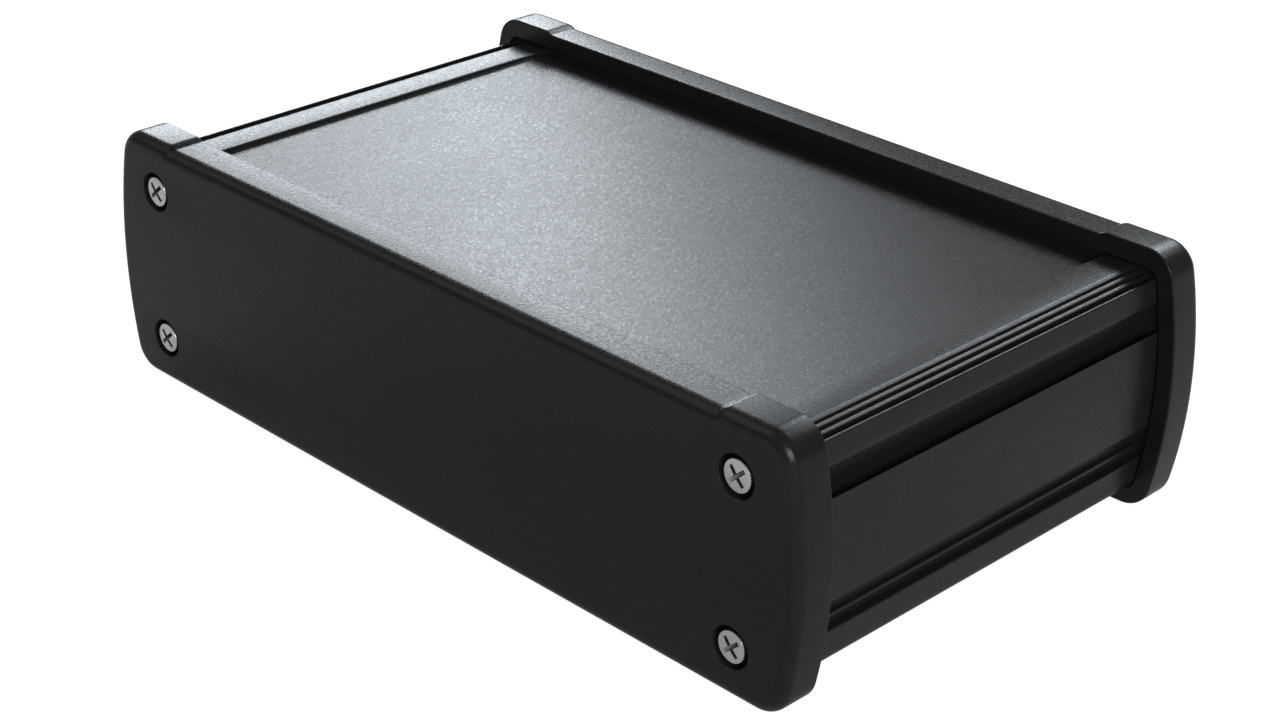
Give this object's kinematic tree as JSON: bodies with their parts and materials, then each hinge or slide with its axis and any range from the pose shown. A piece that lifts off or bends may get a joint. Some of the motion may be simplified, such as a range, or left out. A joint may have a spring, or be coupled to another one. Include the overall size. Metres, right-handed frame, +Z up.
{
  "type": "extruded aluminium enclosure",
  "caption": "Black extruded aluminium instrument enclosure with ribbed shoulders and side channels, closed by thick rounded end caps held on by recessed corner screws.",
  "frame": {"origin": "centre of the enclosure's footprint, on the plane that the end caps stand on", "axes": "+X along the caps' long side, +Y along the extrusion from the front cap to the rear cap, +Z up"},
  "size_m": [0.1684, 0.1, 0.0477],
  "materials": {
    "shell_finish": "black, fine sand texture, semi-gloss",
    "cap_finish": "black, fine matte coating",
    "gasket_rubber": "black, soft",
    "screw_steel": "bright nickel plate"
  },
  "bodies": {
    "root": {"front_cap": "cap_finish", "front_gasket": "gasket_rubber", "front_screw_bottom_left": "screw_steel", "front_screw_bottom_right": "screw_steel", "front_screw_top_left": "screw_steel", "front_screw_top_right": "screw_steel", "lower_shell": "shell_finish", "rear_cap": "cap_finish", "rear_gasket": "gasket_rubber", "rear_screw_bottom_left": "screw_steel", "rear_screw_bottom_right": "screw_steel", "rear_screw_top_left": "screw_steel", "rear_screw_top_right": "screw_steel", "upper_shell": "shell_finish"}
  },
  "joints": []
}
